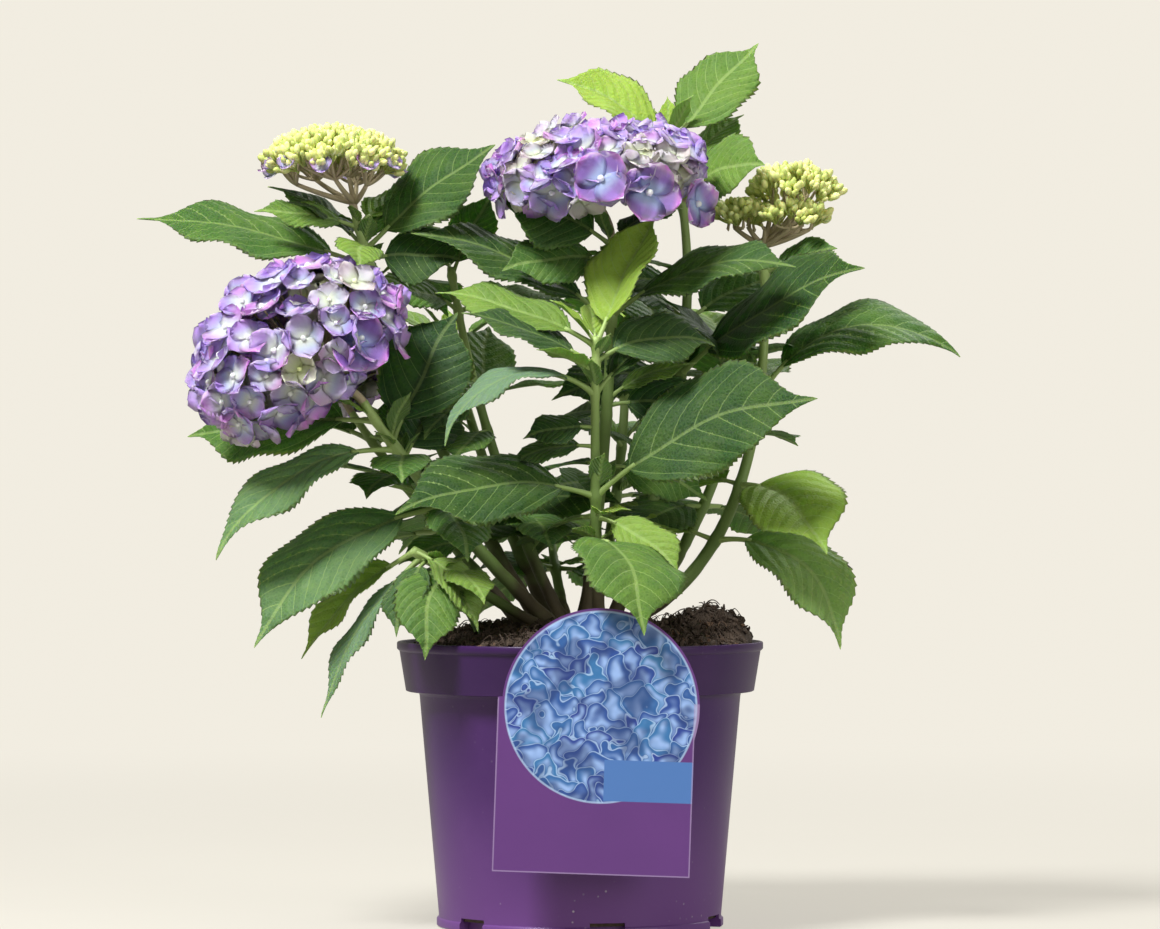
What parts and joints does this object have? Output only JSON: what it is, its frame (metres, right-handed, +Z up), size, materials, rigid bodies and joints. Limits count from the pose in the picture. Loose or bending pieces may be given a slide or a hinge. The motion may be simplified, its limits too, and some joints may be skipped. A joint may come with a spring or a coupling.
{
  "type": "potted hydrangea shrub",
  "caption": "Low leafy mophead hydrangea shrub with lilac flower heads and green bud clusters, in a round tapered purple nursery pot of soil with a hanging card.",
  "frame": {"origin": "centre of the pot's flat underside", "axes": "+Z up along the pot's axis, -Y towards the side with the card, +X to the right of a viewer who faces the card"},
  "size_m": [0.5228, 0.3638, 0.5571],
  "materials": {
    "pot": "semi-gloss moulded purple plastic",
    "soil": "moist crumbly dark peat soil",
    "card": "printed satin card",
    "stem": "smooth young bark, brown below and green above",
    "leaf": "satin veined leaf",
    "petal": "soft lilac petal",
    "bud": "soft yellow-green bud"
  },
  "bodies": {
    "root": {"pot": "pot", "soil": "soil", "card": "card", "stem_right": "stem", "leaves_right": "leaf", "stem_tall": "stem", "leaves_tall": "leaf", "stem_middle": "stem", "leaves_middle": "leaf", "stem_front": "stem", "leaves_front": "leaf", "stem_left": "stem", "leaves_left": "leaf", "stem_upper_left": "stem", "leaves_upper_left": "leaf", "stem_inner_left": "stem", "leaves_inner_left": "leaf", "stem_low_left": "stem", "leaves_low_left": "leaf", "stem_back_right": "stem", "leaves_back_right": "leaf", "stem_back_middle": "stem", "leaves_back_middle": "leaf", "stem_back_left": "stem", "leaves_back_left": "leaf", "stem_far_left": "stem", "leaves_far_left": "leaf", "stem_low_back": "stem", "leaves_low_back": "leaf", "flowers_left": "petal", "flowers_middle": "petal", "flowers_back": "petal", "buds_upper_left": "bud", "buds_right": "bud"}
  },
  "joints": []
}
